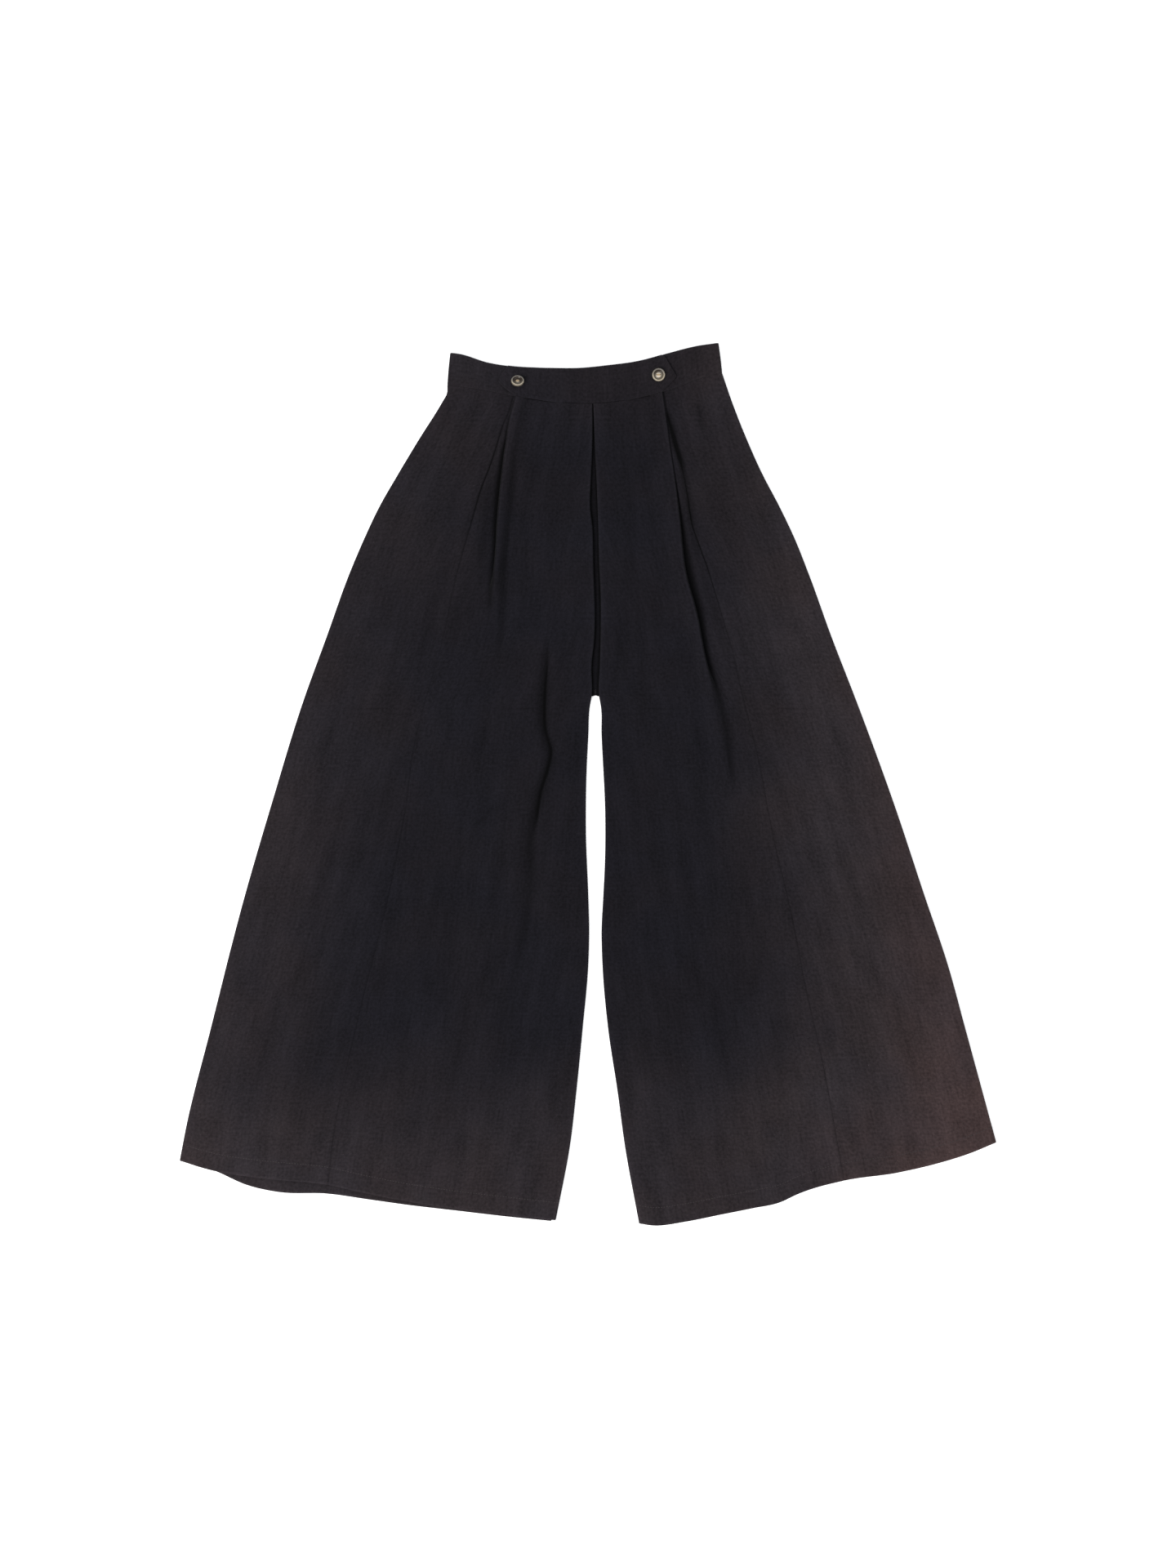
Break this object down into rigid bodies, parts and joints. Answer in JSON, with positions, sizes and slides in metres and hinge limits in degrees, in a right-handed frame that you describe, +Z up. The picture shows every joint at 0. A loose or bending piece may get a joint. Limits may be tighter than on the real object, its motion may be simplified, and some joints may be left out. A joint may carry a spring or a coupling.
{
  "type": "wide-leg pleated trousers",
  "caption": "High-waisted wide-leg trousers laid flat front up, with a tabbed and buttoned waistband, a centre inverted pleat and side pleats",
  "frame": {"origin": "middle of the trousers' outline, on the table they lie on", "axes": "+X to the wearer's left, +Y up the trousers to the waist, +Z up off the table, out of the front"},
  "size_m": [1.0009, 1.0808, 0.0109],
  "materials": {
    "cloth": "matte black plain weave with faint slubs",
    "horn": "polished horn-brown button"
  },
  "bodies": {
    "root": {"front_right": "cloth", "front_left": "cloth", "side_right": "cloth", "side_left": "cloth", "back_right": "cloth", "back_left": "cloth", "waistband_back": "cloth", "waistband_front": "cloth", "button_right": "horn", "button_left": "horn"}
  },
  "joints": []
}
